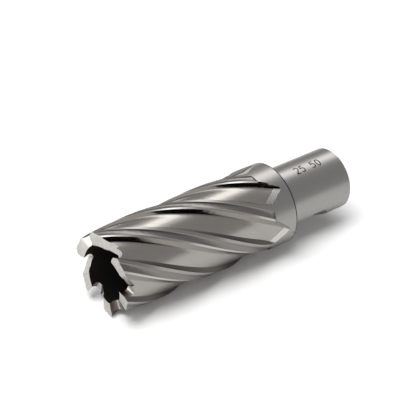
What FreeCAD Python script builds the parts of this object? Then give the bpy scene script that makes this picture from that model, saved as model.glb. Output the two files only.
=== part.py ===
import FreeCAD, Part
import math
import os

# Annular cutter machined from one blank: round shank, stepped body, helical flutes and a ring of teeth.
# It stands on the shank's end face: origin at the centre of that face, +Z towards the teeth.
# Angles in degrees are counted about +Z from +X. Heights along the body are counted from its shoulder.

V = FreeCAD.Vector

# Shank
SHANK_D = 19.05
SHANK_L = 24.0
SHANK_CHAMFER = 0.7
UNDERCUT_W = 0.6
UNDERCUT_DEPTH = 0.3

# Body
CUT_D = 25.4
BODY_L = 61.5
SHOULDER_CHAMFER = 0.3

# Core cavity and pilot bore
CORE_D = 17.4
CORE_DEPTH = 54.0
CORE_ROOF_DROP = 1.6
PILOT_D = 6.4
PILOT_CHAMFER = 0.6

# Clamping flats on the shank
FLAT_DEPTH = 1.35
FLAT_START = 10.2
FLAT_L = 9.9
FLAT_RAMP = 3.2
FLAT_ANGLES = (268.0, 178.0)

# Flutes: angles are those of the section at the shoulder, leans are in degrees per millimetre of radius
TEETH = 6
HELIX_ANGLE = 30.0
FLUTE_DEPTH = 1.2
RAKE_FOOT = -25.2
HEEL_FOOT = 5.8
RAKE_LEAN = 2.9
HEEL_LEAN = 5.6
FOOT_BEVEL = 0.35
EXIT_HEEL = 2.6
EXIT_RAKE = 8.1
LIFT_L = 6.3
OVER_R = 2.1
FLOOR_STEPS = 6

# Relief between the heel and the margin of each land
RELIEF_START = 8.0
MARGIN_W = 5.2
RELIEF_DEPTH = 0.3
CREST_DEPTH = 0.18
HEEL_DROP = 0.38
BEVEL_W = 2.5
FLANK_W = 1.1

# Teeth and gullets
RIDGE_R = 10.9
RIDGE_SLOPE = 9.0
END_RELIEF = 10.0
LAND_TURN = 21.5
LAND_DROP = 0.68
BACK_RELIEF = 32.0
BACK_L = 4.6
GULLET_DEPTH = 3.2
GULLET_R = 1.35
GULLET_RISE = 25.0
GULLET_W = 3.4
TOOTHED_L = 8.1

# Spacing of the sections that the helical surfaces pass through
RUNOUT_STEP = 0.9
RELIEF_STEP = 2.2
BODY_STEP = 3.0
TOOTHED_STEP = 1.35

CLEAR = 1.0
MAX_DEGREE = 5
SEAM = 1e-4
FLATNESS = 1e-6

SHANK_R = SHANK_D / 2
CUT_R = CUT_D / 2
CORE_R = CORE_D / 2
PILOT_R = PILOT_D / 2
TIP_Z = SHANK_L + BODY_L
CORE_Z = TIP_Z - CORE_DEPTH
PITCH = 360.0 / TEETH
LEAD = math.pi * CUT_D / math.tan(math.radians(HELIX_ANGLE))
TWIST = 360.0 / LEAD
FLOOR_R = CUT_R - FLUTE_DEPTH
HEEL_TOP = HEEL_FOOT + HEEL_LEAN * FLUTE_DEPTH
RAKE_TOP = RAKE_FOOT - RAKE_LEAN * FLUTE_DEPTH
MARGIN = RAKE_TOP + PITCH - MARGIN_W
RUNOUT_END = EXIT_RAKE + LIFT_L
TOOTHED_START = BODY_L - TOOTHED_L


def at(radius, angle, z):
    """Point from radius, angle and height."""
    a = math.radians(angle)
    return V(radius * math.cos(a), radius * math.sin(a), z)


def revolved(points):
    """Solid of revolution about Z from corners given as radius and height."""
    corners = [V(r, 0, z) for r, z in points]
    face = Part.Face(Part.makePolygon(corners + corners[:1]))
    return face.revolve(V(0, 0, 0), V(0, 0, 1), 360)


def turned(shape, angle):
    """Copy of a shape, turned about Z."""
    copy = shape.copy()
    copy.rotate(V(0, 0, 0), V(0, 0, 1), angle)
    return copy


def around(shape):
    """One copy of a shape for each tooth."""
    return [turned(shape, i * PITCH) for i in range(TEETH)]


def on_radius(p, q, radius):
    """Point at a radius on the level line from p to q."""
    d = q - p
    a = d.x ** 2 + d.y ** 2
    b = p.x * d.x + p.y * d.y
    c = p.x ** 2 + p.y ** 2 - radius ** 2
    return p + d * ((math.sqrt(b * b - a * c) - b) / a)


def crossing(p, q, s, t):
    """Point where the level lines p to q and s to t cross."""
    d = q - p
    e = t - s
    return p + d * (((s.x - p.x) * e.y - (s.y - p.y) * e.x) / (d.x * e.y - d.y * e.x))


def lift(across, along):
    """Rise of the flute floor in its run-out, from the rake foot (0) across to the heel foot (1)."""
    start = EXIT_RAKE + (EXIT_HEEL - EXIT_RAKE) * across + LIFT_L
    return FLUTE_DEPTH * (max(0.0, start - along) / LIFT_L) ** 2


def flute_lines(along, shift=0.0):
    """Ends of the two leaning walls of a flute, and the edges of its floor with bevelled feet."""
    z = SHANK_L + along
    turn = TWIST * along + shift
    low = FLOOR_R + lift(0, along)
    high = FLOOR_R + lift(1, along)
    rake_out = at(low + OVER_R, RAKE_FOOT - RAKE_LEAN * OVER_R + turn, z)
    heel_out = at(high + OVER_R, HEEL_FOOT + HEEL_LEAN * OVER_R + turn, z)
    rake_foot = at(low, RAKE_FOOT + turn, z)
    heel_foot = at(high, HEEL_FOOT + turn, z)
    rake_wall = rake_foot + (rake_out - rake_foot).normalize() * FOOT_BEVEL
    heel_wall = heel_foot + (heel_out - heel_foot).normalize() * FOOT_BEVEL
    width = HEEL_FOOT - RAKE_FOOT
    inset = math.degrees(FOOT_BEVEL / FLOOR_R) / width
    floor = []
    for i in range(FLOOR_STEPS + 1):
        across = inset + (1 - 2 * inset) * i / FLOOR_STEPS
        floor.append(at(FLOOR_R + lift(across, along), RAKE_FOOT + width * across + turn, z))
    curve = Part.BSplineCurve()
    curve.interpolate(floor)
    edges = [Part.makeLine(rake_wall, floor[0]), curve.toShape(), Part.makeLine(floor[-1], heel_wall)]
    return rake_out, rake_wall, edges, heel_wall, heel_out


def relief_points(along, shift=0.0):
    """Corners of the relief: bevelled heel, shallow floor and a flank that ends outside the margin."""
    z = SHANK_L + along
    turn = TWIST * along + shift
    floor_r = CUT_R - RELIEF_DEPTH
    return [
        at(CUT_R - HEEL_DROP, HEEL_TOP - HEEL_LEAN + turn, z),
        at(CUT_R - CREST_DEPTH, HEEL_TOP + BEVEL_W + turn, z),
        at(floor_r, HEEL_TOP + BEVEL_W + FLANK_W + turn, z),
        at(floor_r, MARGIN - FLANK_W + turn, z),
        at(CUT_R + CLEAR, MARGIN + FLANK_W * CLEAR / RELIEF_DEPTH + turn, z),
    ]


def flute_section(along):
    """Closed outline of one flute, reaching outside the body."""
    rake_out, rake_wall, edges, heel_wall, heel_out = flute_lines(along)
    z = SHANK_L + along
    middle = (RAKE_FOOT + HEEL_FOOT) / 2 + TWIST * along
    top = at(CUT_R + OVER_R + (lift(0, along) + lift(1, along)) / 2, middle, z)
    walls = [Part.makeLine(rake_out, rake_wall)] + edges + [Part.makeLine(heel_wall, heel_out)]
    return Part.Wire(walls + [Part.Arc(heel_out, top, rake_out).toShape()])


def relief_section(along):
    """Closed outline of one relief, reaching outside the body."""
    z = SHANK_L + along
    turn = TWIST * along
    points = relief_points(along)
    points.append(at(CUT_R + 2 * CLEAR, (MARGIN + HEEL_TOP) / 2 + turn, z))
    points.append(at(CUT_R + CLEAR, HEEL_TOP - HEEL_LEAN + turn, z))
    return Part.makePolygon(points + points[:1])


def tooth_edges(along):
    """Outline of the body from one rake edge to the next: flute, bevel, relief and margin."""
    rake_out, rake_wall, floor, heel_wall, heel_out = flute_lines(along)
    next_out, next_wall = flute_lines(along, PITCH)[:2]
    relief = relief_points(along)
    rake_top = on_radius(rake_wall, rake_out, CUT_R)
    next_top = on_radius(next_wall, next_out, CUT_R)
    heel_edge = crossing(heel_wall, heel_out, relief[0], relief[1])
    margin_start = on_radius(relief[3], relief[4], CUT_R)
    middle = V(margin_start.x + next_top.x, margin_start.y + next_top.y, 0).normalize() * CUT_R
    middle.z = SHANK_L + along
    corners = [heel_wall, heel_edge] + relief[1:4] + [margin_start]
    walls = [Part.makeLine(p, q) for p, q in zip(corners, corners[1:])]
    margin = Part.Arc(margin_start, middle, next_top).toShape()
    return [Part.makeLine(rake_top, rake_wall)] + floor + walls + [margin]


def spaced(start, end, step):
    """Evenly spaced values from start to end."""
    count = max(1, round((end - start) / step))
    return [start + (end - start) * i / count for i in range(count + 1)]


def lofted(outlines, solid):
    """Smooth surface through outlines that follow each other along the body."""
    return Part.makeLoft(outlines, solid, False, False, MAX_DEGREE)


def swept(section, heights):
    """Solid through the same closed outline at a row of heights."""
    return lofted([section(h) for h in heights], True)


def blank():
    """Chamfered shank, undercut, chamfered shoulder and plain body up to where the run-outs begin."""
    groove_r = SHANK_R - UNDERCUT_DEPTH
    return revolved([
        (0, 0),
        (SHANK_R - SHANK_CHAMFER, 0),
        (SHANK_R, SHANK_CHAMFER),
        (SHANK_R, SHANK_L - UNDERCUT_W),
        (groove_r, SHANK_L - UNDERCUT_W),
        (groove_r, SHANK_L),
        (CUT_R - SHOULDER_CHAMFER, SHANK_L),
        (CUT_R, SHANK_L + SHOULDER_CHAMFER),
        (CUT_R, SHANK_L + RUNOUT_END),
        (0, SHANK_L + RUNOUT_END),
    ])


def hollow():
    """Core cavity with a coned roof, and the pilot bore, chamfered at the shank's end."""
    return revolved([
        (0, -CLEAR),
        (PILOT_R + PILOT_CHAMFER + CLEAR, -CLEAR),
        (PILOT_R, PILOT_CHAMFER),
        (PILOT_R, CORE_Z - CORE_ROOF_DROP),
        (CORE_R, CORE_Z),
        (CORE_R, TIP_Z + CLEAR),
        (0, TIP_Z + CLEAR),
    ])


def clamping_flat():
    """Cutter for a flat with a ramp at each end, facing +X."""
    bed_r = SHANK_R - FLAT_DEPTH
    ramp = FLAT_RAMP * (FLAT_DEPTH + CLEAR) / FLAT_DEPTH
    high = FLAT_START + FLAT_L
    corners = [
        V(bed_r, -SHANK_R, FLAT_START),
        V(bed_r, -SHANK_R, high),
        V(SHANK_R + CLEAR, -SHANK_R, high + ramp),
        V(SHANK_R + CLEAR, -SHANK_R, FLAT_START - ramp),
    ]
    return Part.Face(Part.makePolygon(corners + corners[:1])).extrude(V(0, SHANK_D, 0))


def sides(shape, heights):
    """Faces of a shape, apart from the level ones at the given heights along the body."""
    levels = [SHANK_L + h for h in heights]
    return [
        f for f in shape.Faces
        if f.BoundBox.ZLength > FLATNESS or all(abs(f.BoundBox.ZMin - z) > FLATNESS for z in levels)
    ]


def joined(pieces, heights):
    """One solid from pieces that share the same outline at the given heights along the body."""
    faces = []
    for piece in pieces:
        faces.extend(sides(piece, heights))
    shell = Part.makeShell(faces)
    shell.sewShape(SEAM)
    return Part.Solid(shell)


def collar():
    """Shank, clamping flats and the start of the body with the run-outs cut in."""
    beyond = [RUNOUT_END + CLEAR, RUNOUT_END + 2 * CLEAR]
    flute = swept(flute_section, spaced(EXIT_HEEL - CLEAR, RUNOUT_END, RUNOUT_STEP) + beyond)
    relief = swept(relief_section, spaced(RELIEF_START, RUNOUT_END, RELIEF_STEP) + beyond)
    turned_blank = blank().cut([turned(clamping_flat(), angle) for angle in FLAT_ANGLES])
    return turned_blank.cut(around(flute)).cut(around(relief))


def fluted_length():
    """Surfaces between collar and toothed end: the cavity's wall, and a helical strip for each edge."""
    rows = [tooth_edges(h) for h in spaced(RUNOUT_END, TOOTHED_START, BODY_STEP)]
    surfaces = [Part.makeCylinder(CORE_R, TOOTHED_START - RUNOUT_END, V(0, 0, SHANK_L + RUNOUT_END))]
    for edges in zip(*rows):
        surfaces.extend(around(lofted([Part.Wire([edge]) for edge in edges], False)))
    return surfaces


def radial_prism(outline, angle, slope=0.0):
    """Solid from an outline in the tangential and upright directions, drawn out along a radius."""
    reach = CUT_R + CLEAR
    fall = reach * math.tan(math.radians(slope))
    prism = Part.Face(outline).extrude(V(reach, 0, -fall))
    return turned(prism, angle)


def end_relief(angle, slope):
    """Wedge above one of the two planes that meet in a tooth's ridge."""
    rise = RIDGE_R * math.tan(math.radians(slope))
    fall = math.tan(math.radians(END_RELIEF))
    front = CLEAR
    back = -CUT_R * math.sin(math.radians(LAND_TURN)) - CLEAR
    z = TIP_Z + rise
    corners = [
        V(0, front, z + fall * front),
        V(0, back, z + fall * back),
        V(0, back, z + 4 * CLEAR),
        V(0, front, z + 4 * CLEAR),
    ]
    return radial_prism(Part.makePolygon(corners + corners[:1]), angle, slope)


def back_relief(angle):
    """Steeper wedge behind the land."""
    fall = math.tan(math.radians(BACK_RELIEF))
    z = TIP_Z - LAND_DROP
    corners = [
        V(0, CLEAR, z + fall * CLEAR),
        V(0, -BACK_L, z - fall * BACK_L),
        V(0, -BACK_L, TIP_Z + CLEAR),
        V(0, CLEAR, TIP_Z + CLEAR),
    ]
    return radial_prism(Part.makePolygon(corners + corners[:1]), angle)


def gullet(angle):
    """Round-bottomed notch through the wall: one side follows the rake face, the other rises gently."""
    lean = math.atan(FLOOR_R * math.radians(TWIST))
    rise = math.radians(GULLET_RISE)
    centre_z = TIP_Z - GULLET_DEPTH + GULLET_R
    centre_y = GULLET_R / math.cos(lean) - (TIP_Z - centre_z) * math.tan(lean)
    start = V(0, centre_y - GULLET_R * math.cos(lean), centre_z + GULLET_R * math.sin(lean))
    low = V(0, centre_y - GULLET_R * math.sin(lean / 2), centre_z - GULLET_R * math.cos(lean / 2))
    end = V(0, centre_y + GULLET_R * math.sin(rise), centre_z - GULLET_R * math.cos(rise))
    run = GULLET_W - end.y
    mouth = V(0, GULLET_W, end.z + run * math.tan(rise))
    top_y = start.y + (TIP_Z + CLEAR - start.z) * math.tan(lean)
    far = V(0, GULLET_W, TIP_Z + CLEAR)
    near = V(0, top_y, TIP_Z + CLEAR)
    edges = [
        Part.Arc(start, low, end).toShape(),
        Part.makeLine(end, mouth),
        Part.makeLine(mouth, far),
        Part.makeLine(far, near),
        Part.makeLine(near, start),
    ]
    return radial_prism(Part.Wire(edges), angle)


def tooth_cuts():
    """Everything that is cut from the end for one tooth."""
    turn = TWIST * BODY_L
    edge = RAKE_TOP + turn
    outer = end_relief(edge, RIDGE_SLOPE)
    inner = end_relief(edge, -RIDGE_SLOPE)
    return [outer, inner, back_relief(edge - LAND_TURN), gullet(RAKE_FOOT + turn)]


def toothed_end():
    """Last stretch of the wall: a ring with the teeth cut first, then the flutes and reliefs."""
    ring = revolved([
        (CORE_R, SHANK_L + TOOTHED_START),
        (CUT_R, SHANK_L + TOOTHED_START),
        (CUT_R, TIP_Z),
        (CORE_R, TIP_Z),
    ])
    for cut in tooth_cuts():
        ring = ring.cut(around(cut))
    before = [TOOTHED_START - 2 * CLEAR, TOOTHED_START - CLEAR]
    beyond = [BODY_L + CLEAR, BODY_L + 2 * CLEAR]
    heights = before + spaced(TOOTHED_START, BODY_L, TOOTHED_STEP) + beyond
    return ring.cut(around(swept(flute_section, heights))).cut(around(swept(relief_section, heights)))


def main():
    surfaces = [collar().cut(hollow()), toothed_end()] + fluted_length()
    cutter = joined(surfaces, [RUNOUT_END, TOOTHED_START])
    os.makedirs("parts", exist_ok=True)
    cutter.exportStep("parts/cutter.step")
    print("valid", cutter.isValid(), "closed", cutter.isClosed(), "solids", len(cutter.Solids))
    print("faces", len(cutter.Faces), "volume", round(cutter.Volume, 1))


main()
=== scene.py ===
import math

import bpy
import numpy as np
from mathutils import Matrix


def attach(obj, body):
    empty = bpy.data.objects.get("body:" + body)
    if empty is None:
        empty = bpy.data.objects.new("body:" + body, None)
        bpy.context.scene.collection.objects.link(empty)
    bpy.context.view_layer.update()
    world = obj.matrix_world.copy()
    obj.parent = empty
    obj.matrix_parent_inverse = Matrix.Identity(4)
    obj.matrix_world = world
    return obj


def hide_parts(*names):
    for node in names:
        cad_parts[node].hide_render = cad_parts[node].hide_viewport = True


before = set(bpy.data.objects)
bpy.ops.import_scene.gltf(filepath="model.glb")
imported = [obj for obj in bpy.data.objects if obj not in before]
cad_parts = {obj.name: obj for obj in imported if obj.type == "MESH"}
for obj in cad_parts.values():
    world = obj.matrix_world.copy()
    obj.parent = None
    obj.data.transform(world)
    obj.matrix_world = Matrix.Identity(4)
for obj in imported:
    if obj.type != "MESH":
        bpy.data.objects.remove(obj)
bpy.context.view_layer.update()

MM = 0.001

# Sizes of the cutter in millimetres. Its axis is Z, from the shank's end face to the teeth
SHANK_R = 9.525
SHANK_L = 24.0
UNDERCUT_W = 0.6
SHOULDER_CHAMFER = 0.3
CUT_R = 12.7
CORE_R = 8.7
PILOT_R = 3.2
FLOOR_R = 11.5
TIP_Z = 85.5
TEETH = 6
TOOTH_PITCH = 360 / TEETH

# Turn of the flutes, in degrees for each millimetre of height above the shoulder
TWIST = 2.605

# Height above the shoulder from which a face can belong to a flute, and that at which the reliefs begin
FLUTE_START = 2.0
RELIEF_START = 8.0

# Height of the toothed end with its gullets, and the heights between which the core's conical roof lies
TEETH_H = 3.8
ROOF_FROM = 20.0
ROOF_TO = 75.5

# Borders of a flute's bands in degrees of phase, which is the angle about the axis less the twist. They
# repeat with each tooth. By the collar, where there is no bevel, the heel wall reaches further
RAKE_TOP = -29.05
RAKE_END = -23.5
FLOOR_END = 4.056
HEEL_TOP = 11.75
HEEL_TOP_AT_COLLAR = 16.02
BEVEL_END = 15.02
RELIEF_END = 26.12

# Run-outs of the flutes, on the surface unrolled along the helix: the height above the shoulder up to which
# they reach at a phase of zero, its change for each millimetre across, and the width of the border
RUNOUT_HEIGHT = 5.6
RUNOUT_SLOPE = -0.884
RUNOUT_FADE = 0.25

# Direction across the run-outs' grinding lines on the unrolled surface. With the twist taken back its
# length is about one, so the lines' pitch is a real distance
LINE_DIRECTION = (0.784, 1.051, 0.0)

# Shade of the lines' dark side, and the value of their sine from which they have their full colour
LINE_SHADE = 0.42
LINE_FULL = 0.1

# The collar's rim, painted dark as shade where it meets the shank: the radius from which it is dark from
# below, the height up to which it is dark on the wall, half the width of the border there, and its shade
RIM_R = 12.35
RIM_TOP = SHANK_L + 0.55
RIM_FADE = 0.04
RIM_SHADE = 0.10

# Range of the noise that the marks of a finish are made of
NOISE_LOW = 0.3
NOISE_HIGH = 0.7

# How far a face's centre can lie from the surface that it belongs to, how far the painted shade of the
# undercut spreads round the shank, and how near two vertices have to be to count as one
NEAR = 0.02
UNDERCUT_SPREAD = 0.4
SAME_PLACE = 0.002

# Least upward parts of the normals of level faces, of the teeth's slopes and backs, of the gullets and of
# the core's roof, and the upward part below which a face is a wall
LEVEL_UP = 0.99
SLOPE_UP = 0.93
BACK_UP = 0.75
GULLET_UP = 0.6
ROOF_UP = 0.3
STEEP_UP = 0.5

# Outward part of the normals below which a face looks at the axis
INWARD = -0.3

# Angle in degrees between two faces from which their edge is a sharp one
SHARP = 20.0

FINISHES = ["ground", "flute", "rake_wall", "heel_wall", "bevel", "relief", "relief_wall", "tooth_end",
            "tooth_back", "gullet", "core", "shoulder_shade"]
SOFT_BANDS = [("flute", "heel_wall"), ("bevel",), ("relief",), ("rake_wall",)]

# Numerals etched on the shank, in millimetres, and the height and the angle at which they start
NUMERALS = "25 50"
NUMERAL_H = 2.6
NUMERAL_STEP = 2.0
STROKE_W = 0.36
ETCH_LIFT = 0.006
NUMERAL_Z = 16.6
NUMERAL_TURN = 28.5

# Studio: the angle about Z of the direction that is up, the middle of the cutter, and lengths in metres
GROUND_UP = 50.06
MIDDLE = np.array([0, 0, 43.0]) * MM
FLOOR_SIDE = 3.0
FLOOR_GLOW = 0.05
LAMP_DISTANCE = 0.6
WORLD_LEVEL = 0.25
WHITE = (1, 1, 1, 1)

# Camera at the photograph's viewing angle: where it stands, in metres, and its three directions
CAMERA_PLACE = (0.4024, 0.0, 0.2846)
CAMERA_RIGHT = (0.4670, -0.3912, -0.7930)
CAMERA_TOP = (0.2099, 0.9203, -0.3303)
CAMERA_BACK = (0.8590, -0.0122, 0.5119)
CAMERA_LENS = 138.5
CAMERA_SENSOR = 36.0
CAMERA_REACH = 20.0


# Parts of the materials

def linear(hex_code):
    """Linear colour from an sRGB hex code, by the sRGB curve: straight near black, then a power of 2.4."""
    values = [int(hex_code[i:i + 2], 16) / 255 for i in (1, 3, 5)]
    return tuple(v / 12.92 if v <= 0.04045 else ((v + 0.055) / 1.055) ** 2.4 for v in values) + (1.0,)


def add(tree, kind, inputs=None, **settings):
    """Adds a node to a tree. An input is a value, an output, or a node, which gives its first output."""
    made = tree.nodes.new(kind)
    for key, value in settings.items():
        setattr(made, key, value)
    for key, value in (inputs or {}).items():
        if isinstance(value, bpy.types.Node):
            value = value.outputs[0]
        if isinstance(value, bpy.types.NodeSocket):
            tree.links.new(value, made.inputs[key])
        else:
            made.inputs[key].default_value = value
    return made


def emptied(owner):
    """Node tree of a new material or world, without the nodes that it comes with."""
    owner.use_nodes = True
    owner.node_tree.nodes.clear()
    return owner.node_tree


def tool_marks(tree, per_mm):
    """Marks of a tool: noise on the surface unrolled along the helix, times its counts per millimetre.

    The first count is across the flutes and the second along the axis.
    """
    unrolled = add(tree, "ShaderNodeUVMap", uv_map="unrolled")
    place = add(tree, "ShaderNodeVectorMath", {0: unrolled, 1: (*per_mm, 0.0)}, operation="MULTIPLY")
    return add(tree, "ShaderNodeTexNoise", {"Vector": place, "Scale": 1.0, "Detail": 3.0})


def mottled(tree, marks, colour, share):
    """Colour times a factor that goes from one less the share to one plus the share as the marks rise."""
    shade = add(tree, "ShaderNodeMapRange", {
        "Value": marks,
        "From Min": NOISE_LOW,
        "From Max": NOISE_HIGH,
        "To Min": 1.0 - share,
        "To Max": 1.0 + share,
    })
    return add(tree, "ShaderNodeVectorMath", {0: linear(colour)[:3], "Scale": shade}, operation="SCALE")


def rim_darkened(tree, colour):
    """Colour times RIM_SHADE on the narrow rim between the shoulder and RIM_TOP, and unchanged beyond.

    The dark rim is painted shade where the collar meets the shank.
    """
    unrolled = add(tree, "ShaderNodeUVMap", uv_map="unrolled")
    height = add(tree, "ShaderNodeSeparateXYZ", {0: unrolled}).outputs["Y"]
    above = add(tree, "ShaderNodeMapRange", {
        "Value": height,
        "From Min": RIM_TOP - RIM_FADE,
        "From Max": RIM_TOP + RIM_FADE,
    })
    below = add(tree, "ShaderNodeMath", {0: height, 1: SHANK_L}, operation="LESS_THAN")
    outside = add(tree, "ShaderNodeMath", {0: above, 1: below}, operation="MAXIMUM")
    shade = add(tree, "ShaderNodeMapRange", {"Value": outside, "To Min": RIM_SHADE, "To Max": 1.0})
    return add(tree, "ShaderNodeVectorMath", {0: colour, "Scale": shade}, operation="SCALE")


def runout_share(tree, unrolled):
    """Share of the run-out: one below a line that falls from the rake side of a flute to its heel side.

    The line's height is RUNOUT_SLOPE times the distance across, plus the height of the run-out. The
    distance across is that on the unrolled surface, wrapped to one tooth's pitch.
    """
    parts = add(tree, "ShaderNodeSeparateXYZ", {0: unrolled}).outputs
    first = math.radians(RAKE_TOP) * FLOOR_R
    last = first + math.radians(TOOTH_PITCH) * FLOOR_R
    across = add(tree, "ShaderNodeMath", {0: parts["X"], 1: last, 2: first}, operation="WRAP")
    limit = add(tree, "ShaderNodeMath", {
        0: across,
        1: RUNOUT_SLOPE,
        2: SHANK_L + RUNOUT_HEIGHT,
    }, operation="MULTIPLY_ADD")
    under = add(tree, "ShaderNodeMath", {0: limit, 1: parts["Y"]}, operation="SUBTRACT")
    return add(tree, "ShaderNodeMapRange", {"Value": under, "From Min": 0.0, "From Max": RUNOUT_FADE})


def grinding_wave(tree, unrolled, pitch):
    """Sine of the distance along LINE_DIRECTION, with one turn for each pitch in millimetres."""
    along = add(tree, "ShaderNodeVectorMath", {0: unrolled, 1: LINE_DIRECTION}, operation="DOT_PRODUCT")
    angle = add(tree, "ShaderNodeMath", {
        0: along.outputs["Value"],
        1: 2 * math.pi / pitch,
    }, operation="MULTIPLY")
    return add(tree, "ShaderNodeMath", {0: angle}, operation="SINE")


def lined(tree, wave, colour):
    """Colour times a factor that goes from LINE_SHADE at the wave's foot to one at LINE_FULL."""
    shade = add(tree, "ShaderNodeMapRange", {
        "Value": wave,
        "From Min": -1.0,
        "From Max": LINE_FULL,
        "To Min": LINE_SHADE,
        "To Max": 1.0,
    })
    return add(tree, "ShaderNodeVectorMath", {0: linear(colour)[:3], "Scale": shade}, operation="SCALE")


def metal(name, own_inputs):
    """Material of bare metal. A function gives the inputs that are its own, from the material's tree."""
    material = bpy.data.materials.new(name)
    tree = emptied(material)
    surface = add(tree, "ShaderNodeBsdfPrincipled", {"Metallic": 1.0, **own_inputs(tree)})
    add(tree, "ShaderNodeOutputMaterial", {"Surface": surface})
    return material


def steel(name, colour, roughness, per_mm, depth, mottle=0.0, rim=False):
    """Cut or ground steel: its tool's marks, as a relief of a depth in millimetres and a faint mottling."""
    def inputs(tree):
        marks = tool_marks(tree, per_mm)
        tint = mottled(tree, marks, colour, mottle) if mottle else linear(colour)
        # The rim's dark band is painted shade
        if rim:
            tint = rim_darkened(tree, tint)
        bump = add(tree, "ShaderNodeBump", {"Height": marks, "Distance": depth * MM, "Strength": 1.0})
        return {"Base Color": tint, "Roughness": roughness, "Normal": bump}

    return metal(name, inputs)


def flute_steel(name, flute, runout, per_mm, depth, mottle, line_pitch, line_depth):
    """Flute steel: marks along it, and where it runs out, even grinding lines on a pale painted highlight.

    The flute and the run-out each give a colour and a roughness, mixed by the share of the run-out. The
    relief is the marks plus the grinding wave times that share and the lines' depth. Both depths and the
    pitch are in millimetres.
    """
    def inputs(tree):
        unrolled = add(tree, "ShaderNodeUVMap", uv_map="unrolled")
        share = runout_share(tree, unrolled)
        marks = tool_marks(tree, per_mm)
        wave = grinding_wave(tree, unrolled, line_pitch)
        tint = add(tree, "ShaderNodeMix", {
            "Factor": share,
            "A": mottled(tree, marks, flute[0], mottle),
            "B": lined(tree, wave, runout[0]),
        }, data_type="VECTOR")
        rough = add(tree, "ShaderNodeMapRange", {
            "Value": share,
            "To Min": flute[1],
            "To Max": runout[1],
        })
        raised = add(tree, "ShaderNodeMath", {0: wave, 1: share}, operation="MULTIPLY")
        height = add(tree, "ShaderNodeMath", {
            0: raised,
            1: line_depth / depth,
            2: marks,
        }, operation="MULTIPLY_ADD")
        bump = add(tree, "ShaderNodeBump", {"Height": height, "Distance": depth * MM, "Strength": 1.0})
        return {"Base Color": tint.outputs["Result"], "Roughness": rough, "Normal": bump}

    return metal(name, inputs)


def etched_steel(name, colour):
    """Steel under the dark oxide of etching: flat dark strokes, with a little of the metal's shine."""
    material = bpy.data.materials.new(name)
    tree = emptied(material)
    surface = add(tree, "ShaderNodeBsdfPrincipled", {
        "Base Color": linear(colour),
        "Metallic": 0.4,
        "Roughness": 0.7,
    })
    add(tree, "ShaderNodeOutputMaterial", {"Surface": surface})
    return material


# Materials. All of the cutter is hardened tool steel, and each finish is what a tool or the heat left on
# it. Real marks of grinding are some hundredths of a millimetre apart, too fine to show. Across their run
# they are drawn at 3 to 9 for each millimetre, several times as coarse, so that they show as an unevenness

materials = [
    # Cylindrically ground shank, collar and margins: satin grey, with fine rings that spread the light,
    # and a band of painted shade along the collar's rear rim
    steel("ground steel", "#9A9895", 0.33, (0.25, 9.0), 0.0012, mottle=0.05, rim=True),
    # Flute floors ground along the helix: a soft mirror. Where they run out, the wheel's even lines, drawn
    # 0.42 mm apart, which is coarse enough to show, on a pale tone that is a painted highlight
    flute_steel("flute steel", ("#9F9B96", 0.25), ("#DEDBD6", 0.41), (5.0, 0.12), 0.0015,
                mottle=0.07, line_pitch=0.42, line_depth=0.008),
    # Walls under the cutting edges: the steel painted darker as shade, which draws a line along the flute
    steel("rake wall steel", "#56524E", 0.34, (5.0, 0.12), 0.0015),
    # Walls at the heels, ground by the wheel's side: the smoothest faces, which mirror the room's dark
    steel("heel wall steel", "#8A847E", 0.16, (5.0, 0.12), 0.0015),
    # Bevelled heels: paler steel as a painted highlight, a narrow bright line
    steel("bevel steel", "#B5B3AF", 0.28, (5.0, 0.12), 0.001),
    # Reliefs behind the margins: darker and uneven, in streaks along the helix
    steel("relief steel", "#817E7A", 0.33, (4.0, 0.15), 0.002, mottle=0.12),
    # Steps at the ends of the reliefs: dull
    steel("relief end steel", "#8A8783", 0.40, (4.0, 4.0), 0.001),
    # Slopes of the teeth, sharpened on a coarse wheel: pale and blotched
    steel("tooth end steel", "#B7B4B0", 0.50, (3.5, 3.5), 0.006, mottle=0.16),
    # Backs of the teeth: pale, and less rough
    steel("tooth back steel", "#BDBAB6", 0.40, (3.0, 3.0), 0.004, mottle=0.10),
    # Milled gullets: browned by heat
    steel("gullet steel", "#766B63", 0.36, (2.0, 6.0), 0.004, mottle=0.15),
    # Bored core: dark and dull from hardening
    steel("core steel", "#403D39", 0.55, (1.0, 6.0), 0.003),
    # Undercut and edge of the shoulder: darkest, painted shade that draws a line between shank and collar
    steel("undercut steel", "#24211F", 0.55, (1.0, 6.0), 0.001),
]


# The cutter

def merged(node):
    """Vertices and triangles of a node, with the vertices that share a place made one.

    Places are rounded to SAME_PLACE, and the triangles that lose a side by it are left out.
    """
    mesh = node.data
    places = np.empty(len(mesh.vertices) * 3, np.float32)
    mesh.vertices.foreach_get("co", places)
    mesh.calc_loop_triangles()
    corners = np.empty(len(mesh.loop_triangles) * 3, np.int32)
    mesh.loop_triangles.foreach_get("vertices", corners)
    places = places.reshape(-1, 3).astype(float)
    rounded = np.round(places / (SAME_PLACE * MM)).astype(np.int64)
    keys, index = np.unique(rounded, axis=0, return_inverse=True)
    kept = np.zeros((len(keys), 3))
    kept[index.ravel()] = places
    faces = index.ravel()[corners].reshape(-1, 3)
    sound = (faces[:, 0] != faces[:, 1]) & (faces[:, 1] != faces[:, 2]) & (faces[:, 2] != faces[:, 0])
    return kept, faces[sound]


def untwisted(turn, z):
    """Angle about the axis, less the turn of the helix at a height."""
    return turn - TWIST * (z - SHANK_L)


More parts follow.
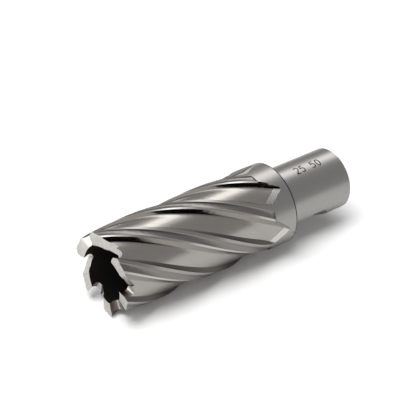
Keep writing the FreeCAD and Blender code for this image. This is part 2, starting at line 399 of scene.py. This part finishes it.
def zones(corners):
    """Finish of each triangle, as its place in FINISHES, and the angle, height and phase of its centre.

    The finish follows from the centre's radius, height and phase and from the triangle's normal. A later
    finish goes over an earlier one.
    """
    centre = corners.mean(axis=1)
    normal = np.cross(corners[:, 1] - corners[:, 0], corners[:, 2] - corners[:, 0])
    normal /= np.maximum(np.linalg.norm(normal, axis=1, keepdims=True), 1e-12)
    upward = normal[:, 2]
    radius = np.hypot(centre[:, 0], centre[:, 1])
    outward = (normal[:, 0] * centre[:, 0] + normal[:, 1] * centre[:, 1]) / np.maximum(radius, 1e-9)
    z = centre[:, 2]
    along = z - SHANK_L
    turn = np.degrees(np.arctan2(centre[:, 1], centre[:, 0]))
    phase = np.mod(untwisted(turn, z) - RAKE_TOP, TOOTH_PITCH) + RAKE_TOP
    finish = np.full(len(corners), FINISHES.index("ground"))

    def paint(name, where):
        finish[where] = FINISHES.index(name)

    body = (along > NEAR) & (radius > CORE_R + NEAR)
    flute = body & (radius < CUT_R - NEAR) & (along > FLUTE_START)
    relieved = flute & (along > RELIEF_START)
    heel_top = np.where(along > RELIEF_START, HEEL_TOP, HEEL_TOP_AT_COLLAR)
    paint("flute", flute & (phase < FLOOR_END))
    paint("rake_wall", flute & (phase < RAKE_END))
    paint("heel_wall", flute & (phase >= FLOOR_END) & (phase < heel_top))
    paint("bevel", relieved & (phase >= HEEL_TOP) & (phase < BEVEL_END))
    paint("relief", relieved & (phase >= BEVEL_END) & (phase < RELIEF_END))
    paint("relief_wall", body & (np.abs(along - RELIEF_START) < NEAR) & (upward > LEVEL_UP))

    inside = radius < FLOOR_R - NEAR
    toothed = body & (z > TIP_Z - TEETH_H) & (inside | (upward > GULLET_UP))
    paint("gullet", toothed)
    paint("tooth_end", toothed & (upward > SLOPE_UP))
    paint("tooth_back", toothed & (upward > BACK_UP) & (upward <= SLOPE_UP))

    wall = (radius < CORE_R + NEAR) & (outward < INWARD) & (np.abs(upward) < STEEP_UP)
    roof = (radius < CORE_R - NEAR) & (upward > ROOF_UP) & (z > ROOF_FROM) & (z < ROOF_TO)
    paint("core", wall | roof)
    # The undercut's groove and the collar's rim chamfer are painted darkest, as shade
    ring = (radius > PILOT_R + UNDERCUT_SPREAD) & (radius < SHANK_R + UNDERCUT_SPREAD)
    paint("shoulder_shade", ring & (z > SHANK_L - UNDERCUT_W - NEAR) & (z < SHANK_L + NEAR))
    rim = (radius > RIM_R) & (upward < -STEEP_UP)
    paint("shoulder_shade", rim & (z > SHANK_L) & (z < SHANK_L + SHOULDER_CHAMFER))
    return finish, turn, z, phase


def unrolled_places(corners, turn, z, phase):
    """Place of each corner on the surface unrolled along the helix, in millimetres.

    It is the phase as a length on the flutes' floor, and the height. The phase counts on from tooth to
    tooth, and the corners of a triangle keep to the side of its centre.
    """
    corner_turn = np.degrees(np.arctan2(corners[..., 1], corners[..., 0]))
    corner_phase = untwisted(corner_turn, corners[..., 2])
    teeth = np.round((untwisted(turn, z) - phase) / TOOTH_PITCH)
    middle = (phase + TOOTH_PITCH * teeth)[:, None]
    corner_phase = middle + np.mod(corner_phase - middle + 180, 360) - 180
    return np.stack([np.radians(corner_phase) * FLOOR_R, corners[..., 2]], axis=-1)


def band_normals(corners, faces, finish):
    """Normals of the flutes' cut, bevels, reliefs and rake walls, each as one soft band.

    At each vertex they are the mean of the normals of the band's faces there, weighted by area, so that the
    feet of the walls shade as small radii. A normal of zero leaves the mesh's own.
    """
    band = np.full(len(faces), -1)
    for place, names in enumerate(SOFT_BANDS):
        band[np.isin(finish, [FINISHES.index(name) for name in names])] = place
    cross = np.cross(corners[:, 1] - corners[:, 0], corners[:, 2] - corners[:, 0])
    keys, index = np.unique(faces * (len(SOFT_BANDS) + 1) + band[:, None] + 1, return_inverse=True)
    sums = np.zeros((len(keys), 3))
    np.add.at(sums, index.ravel(), np.repeat(cross, 3, axis=0))
    normals = sums[index.ravel()]
    normals /= np.maximum(np.linalg.norm(normals, axis=1, keepdims=True), 1e-12)
    normals[np.repeat(band < 0, 3)] = 0
    return normals


def mesh_object(name, places, faces, made_of):
    """New object from its vertices, its faces and its materials."""
    mesh = bpy.data.meshes.new(name)
    mesh.from_pydata(places, [], faces)
    for material in made_of:
        mesh.materials.append(material)
    made = bpy.data.objects.new(name, mesh)
    bpy.context.scene.collection.objects.link(made)
    return made


def solid_copy(name, node, made_of):
    """Copy of the CAD solid with shared vertices, a finish for each face and its unrolled place as UV."""
    places, faces = merged(node)
    corners = places[faces] / MM
    finish, turn, z, phase = zones(corners)
    made = mesh_object(name, places, faces, made_of)
    mesh = made.data
    mesh.polygons.foreach_set("use_smooth", np.ones(len(mesh.polygons), bool))
    mesh.polygons.foreach_set("material_index", finish.astype(np.int32))
    mesh.set_sharp_from_angle(angle=math.radians(SHARP))
    unrolled = unrolled_places(corners, turn, z, phase)
    layer = mesh.uv_layers.new(name="unrolled")
    layer.data.foreach_set("uv", unrolled.reshape(-1).astype(np.float32))
    mesh.normals_split_custom_set(band_normals(corners, faces, finish))
    return made


cutter = solid_copy("cutter_dressed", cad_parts["cutter"], materials)
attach(cutter, "root")
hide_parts("cutter")


# Numerals on the shank

def arc(centre, radii, start, end, count=22):
    """Points of an elliptical arc at even steps between two angles in degrees."""
    turn = np.radians(np.linspace(start, end, count))
    return np.stack([centre[0] + radii[0] * np.cos(turn), centre[1] + radii[1] * np.sin(turn)], axis=1)


def line(start, end, count=8):
    """Points of a straight stroke at even steps."""
    share = np.linspace(0, 1, count)[:, None]
    return np.array(start) * (1 - share) + np.array(end) * share


# Strokes of the numerals in a box one unit high
DIGITS = {
    "2": [np.concatenate([arc((0.27, 0.72), (0.25, 0.26), 165, -38), line((0.46, 0.54), (0.02, 0.02))[1:]]),
          line((0.0, 0.03), (0.54, 0.03))],
    "5": [np.concatenate([line((0.48, 0.97), (0.09, 0.97)), line((0.09, 0.97), (0.05, 0.56))[1:]]),
          arc((0.25, 0.34), (0.26, 0.31), 140, -145)],
    "0": [arc((0.28, 0.5), (0.24, 0.47), 0, 360, 36)],
}


def stroke_ribbon(points):
    """Band of the stroke's width round a line: each point moved both ways along the line's normal."""
    run = np.gradient(points, axis=0)
    run /= np.linalg.norm(run, axis=1, keepdims=True)
    side = np.stack([-run[:, 1], run[:, 0]], axis=1) * STROKE_W / 2
    count = len(points)
    index = np.arange(count - 1)
    quads = np.stack([index, index + 1, index + 1 + count, index + count], axis=1)
    return np.concatenate([points - side, points + side]), quads


def etched_numerals(name, material):
    """Numerals laid on the shank: they read towards its end face and stand up round its wall.

    On the flat, the first coordinate is a distance down the axis and the second an arc round the shank.
    """
    flat, quads, total = [], [], 0
    for place, digit in enumerate(NUMERALS):
        for stroke in DIGITS.get(digit, []):
            points, faces = stroke_ribbon(stroke * NUMERAL_H + (place * NUMERAL_STEP, 0))
            flat.append(points)
            quads.append(faces + total)
            total += len(points)
    flat = np.concatenate(flat)
    turn = np.radians(NUMERAL_TURN) + flat[:, 1] / SHANK_R
    radius = SHANK_R + ETCH_LIFT
    places = np.stack([radius * np.cos(turn), radius * np.sin(turn), NUMERAL_Z - flat[:, 0]], axis=1) * MM
    return mesh_object(name, places, np.concatenate(quads), [material])


numerals = etched_numerals("shank_numerals", etched_steel("etched steel", "#2E2C2A"))
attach(numerals, "root")


# Studio

def ray(turn, rise):
    """Unit direction from an angle about Z and an angle above the level, by their cosines and sines."""
    t, r = math.radians(turn), math.radians(rise)
    return np.array([math.cos(t) * math.cos(r), math.sin(t) * math.cos(r), math.sin(r)])


def placed(right, top, back, place):
    """Matrix of an object from its three directions and its place."""
    return Matrix([[right[i], top[i], back[i], place[i]] for i in range(3)] + [[0, 0, 0, 1]])


def card(name, centre, across, along, width, height, material):
    """Flat studio card: its corners lie half a width and half a height from its centre, both ways."""
    across = np.array(across) / np.linalg.norm(across) * width / 2
    along = np.array(along) / np.linalg.norm(along) * height / 2
    signs = np.array([(-1, -1), (1, -1), (1, 1), (-1, 1)])
    corners = np.array(centre) + signs[:, :1] * across + signs[:, 1:] * along
    made = mesh_object(name, corners, [(0, 1, 2, 3)], [material])
    return made


def reflector(name, towards, distance, width, height, radiance):
    """Studio card seen only in reflections, facing the cutter from a direction, of an even brightness."""
    material = bpy.data.materials.new(name.replace("_", " "))
    tree = emptied(material)
    glow = add(tree, "ShaderNodeEmission", {"Color": WHITE, "Strength": radiance})
    add(tree, "ShaderNodeOutputMaterial", {"Surface": glow})
    across = np.cross((0, 0, 1), towards)
    along = np.cross(towards, across)
    made = card(name, MIDDLE + towards * distance, across, along, width, height, material)
    made.visible_camera = False
    made.visible_shadow = False
    made.visible_diffuse = False


def aimed(light, towards):
    """Object of a light that stands at LAMP_DISTANCE from the cutter in a direction, and faces it."""
    made = bpy.data.objects.new(light.name, light)
    bpy.context.scene.collection.objects.link(made)
    right = np.cross((0, 0, 1), towards)
    right = right / np.linalg.norm(right)
    place = MIDDLE + towards * LAMP_DISTANCE
    made.matrix_world = placed(right, np.cross(towards, right), towards, place)
    return made


def lamp(name, towards, width, height, radiance):
    """Soft area lamp that faces the cutter. Its power is its radiance times pi times its area."""
    light = bpy.data.lights.new(name, "AREA")
    light.shape = "RECTANGLE"
    light.size = width
    light.size_y = height
    light.energy = radiance * math.pi * width * height
    aimed(light, towards)


def shadow_light(name, towards, level, spread):
    """Wide even light that casts the floor's shadow and isn't seen in the metal.

    Its strength is pi times its level, which is the brightness that it gives a white face turned to it.
    """
    light = bpy.data.lights.new(name, "SUN")
    light.energy = level * math.pi
    light.angle = math.radians(spread)
    aimed(light, towards).visible_glossy = False


def floor_material(name, colour):
    """Even pale paint with a little glow that the camera alone sees. From behind the floor is clear."""
    material = bpy.data.materials.new(name)
    tree = emptied(material)
    seen = add(tree, "ShaderNodeLightPath").outputs["Is Camera Ray"]
    behind = add(tree, "ShaderNodeNewGeometry").outputs["Backfacing"]
    glow = add(tree, "ShaderNodeMath", {0: seen, 1: FLOOR_GLOW}, operation="MULTIPLY")
    paint = add(tree, "ShaderNodeBsdfDiffuse", {"Color": linear(colour)})
    shine = add(tree, "ShaderNodeEmission", {"Color": WHITE, "Strength": glow})
    both = add(tree, "ShaderNodeAddShader", {0: paint, 1: shine})
    clear = add(tree, "ShaderNodeBsdfTransparent")
    surface = add(tree, "ShaderNodeMixShader", {"Fac": behind, 1: both, 2: clear})
    add(tree, "ShaderNodeOutputMaterial", {"Surface": surface})
    return material


def studio_world(name):
    """World that is white to the camera and in reflections, and WORLD_LEVEL as light on dull faces."""
    world = bpy.data.worlds.new(name)
    tree = emptied(world)
    path = add(tree, "ShaderNodeLightPath").outputs
    seen = path["Is Camera Ray"]
    for other in ("Is Glossy Ray", "Is Transmission Ray"):
        seen = add(tree, "ShaderNodeMath", {0: seen, 1: path[other]}, operation="MAXIMUM")
    level = add(tree, "ShaderNodeMapRange", {"Value": seen, "To Min": WORLD_LEVEL, "To Max": 1.0})
    sky = add(tree, "ShaderNodeBackground", {"Color": WHITE, "Strength": level})
    add(tree, "ShaderNodeOutputWorld", {"Surface": sky})
    return world


def studio_camera(name):
    """Camera from its place, its three directions and its lens."""
    data = bpy.data.cameras.new(name)
    data.lens = CAMERA_LENS
    data.sensor_width = CAMERA_SENSOR
    data.clip_end = CAMERA_REACH
    made = bpy.data.objects.new(name, data)
    bpy.context.scene.collection.objects.link(made)
    made.matrix_world = placed(CAMERA_RIGHT, CAMERA_TOP, CAMERA_BACK, CAMERA_PLACE)
    return made


# The floor touches the cutter from below, and its sides run along the axis and across it
up = ray(GROUND_UP, 0)
ground = MIDDLE - up * CUT_R * MM
pale_floor = floor_material("pale floor", "#F9F9F9")
card("floor", ground, np.cross((0, 0, 1), up), (0, 0, 1), FLOOR_SIDE, FLOOR_SIDE, pale_floor)

# The dark card blackens the heel walls, and the other two hold the greys of the front and the upper outline
reflector("dark_card", ray(13, 6), 0.55, 0.70, 0.38, 0.0)
reflector("front_card", ray(8, -22), 0.75, 1.30, 1.10, 0.48)
reflector("back_card", ray(150, -40), 0.75, 1.30, 1.10, 0.40)

# Two lamps give the bands of light along the body and on the teeth, and the wide light the floor's shadow
lamp("overhead_lamp", ray(79, -30), 0.22, 0.44, 1.9)
lamp("end_lamp", ray(100, 76), 0.5, 0.5, 2.4)
shadow_light("shadow_light", ray(47, 16), 0.78, 38)

bpy.context.scene.world = studio_world("studio")
bpy.context.scene.camera = studio_camera("camera")
bpy.context.scene.view_settings.view_transform = "Standard"
bpy.context.view_layer.update()
